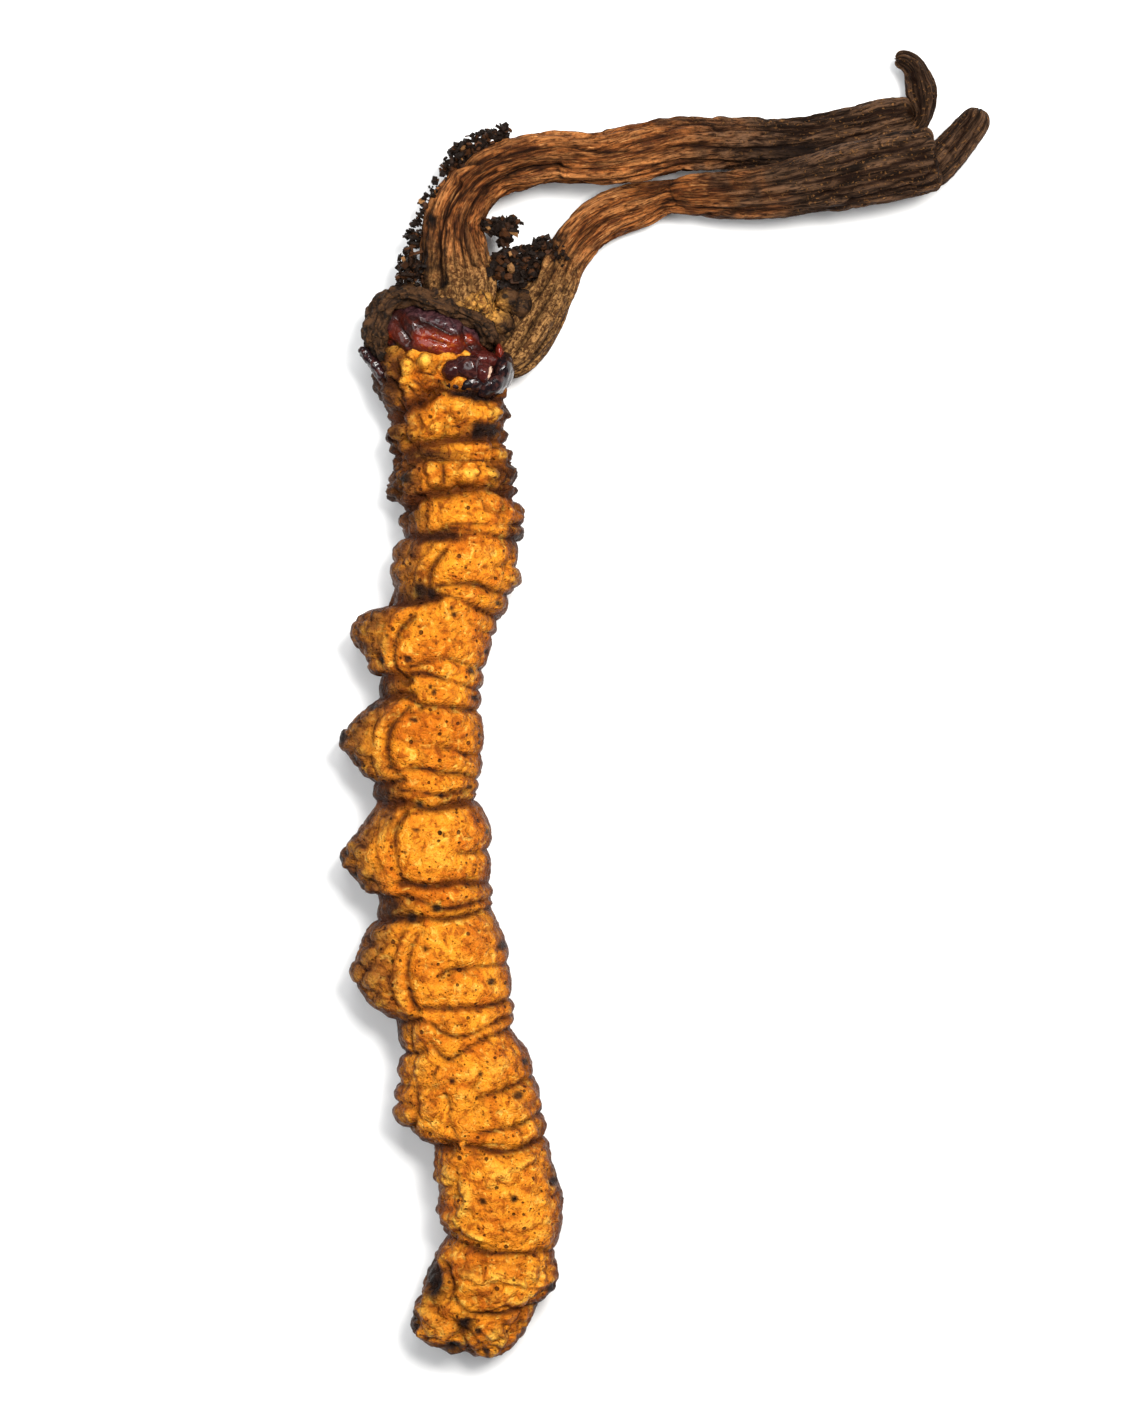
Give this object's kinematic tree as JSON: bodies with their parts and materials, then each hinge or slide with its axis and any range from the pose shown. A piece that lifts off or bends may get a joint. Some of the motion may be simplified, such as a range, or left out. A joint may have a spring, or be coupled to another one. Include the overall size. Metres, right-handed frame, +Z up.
{
  "type": "cordyceps fungus",
  "caption": "Dried cordyceps fungus lying on its side: a ringed mummified larva with false legs, whose head bears a collar that forks into curved dark club-shaped stalks.",
  "frame": {"origin": "on the resting surface, under the middle of the outline seen from above", "axes": "+Z up from the surface it lies on, +Y along the larva towards its head, +X from the belly towards the back and along the clubs"},
  "size_m": [0.029, 0.0586, 0.0048],
  "materials": {
    "larva_skin": "waxy dried skin, dirt in the folds, fine dark pits",
    "head_shell": "glossy wrinkled chitin",
    "dark_shell": "glossy black-brown chitin",
    "fungal_skin": "matte folded fungal skin",
    "stroma_bark": "dry, finely wrinkled lengthways, darker towards the club",
    "soil": "dull crumbs"
  },
  "bodies": {
    "root": {"larva_body": "larva_skin", "head_capsule": "head_shell", "mouthparts": "dark_shell", "foreleg": "dark_shell", "collar": "fungal_skin", "stroma_upper": "stroma_bark", "stroma_lower": "stroma_bark", "soil_bend": "soil", "soil_side": "soil", "soil_crook": "soil", "soil_fork": "soil"}
  },
  "joints": []
}
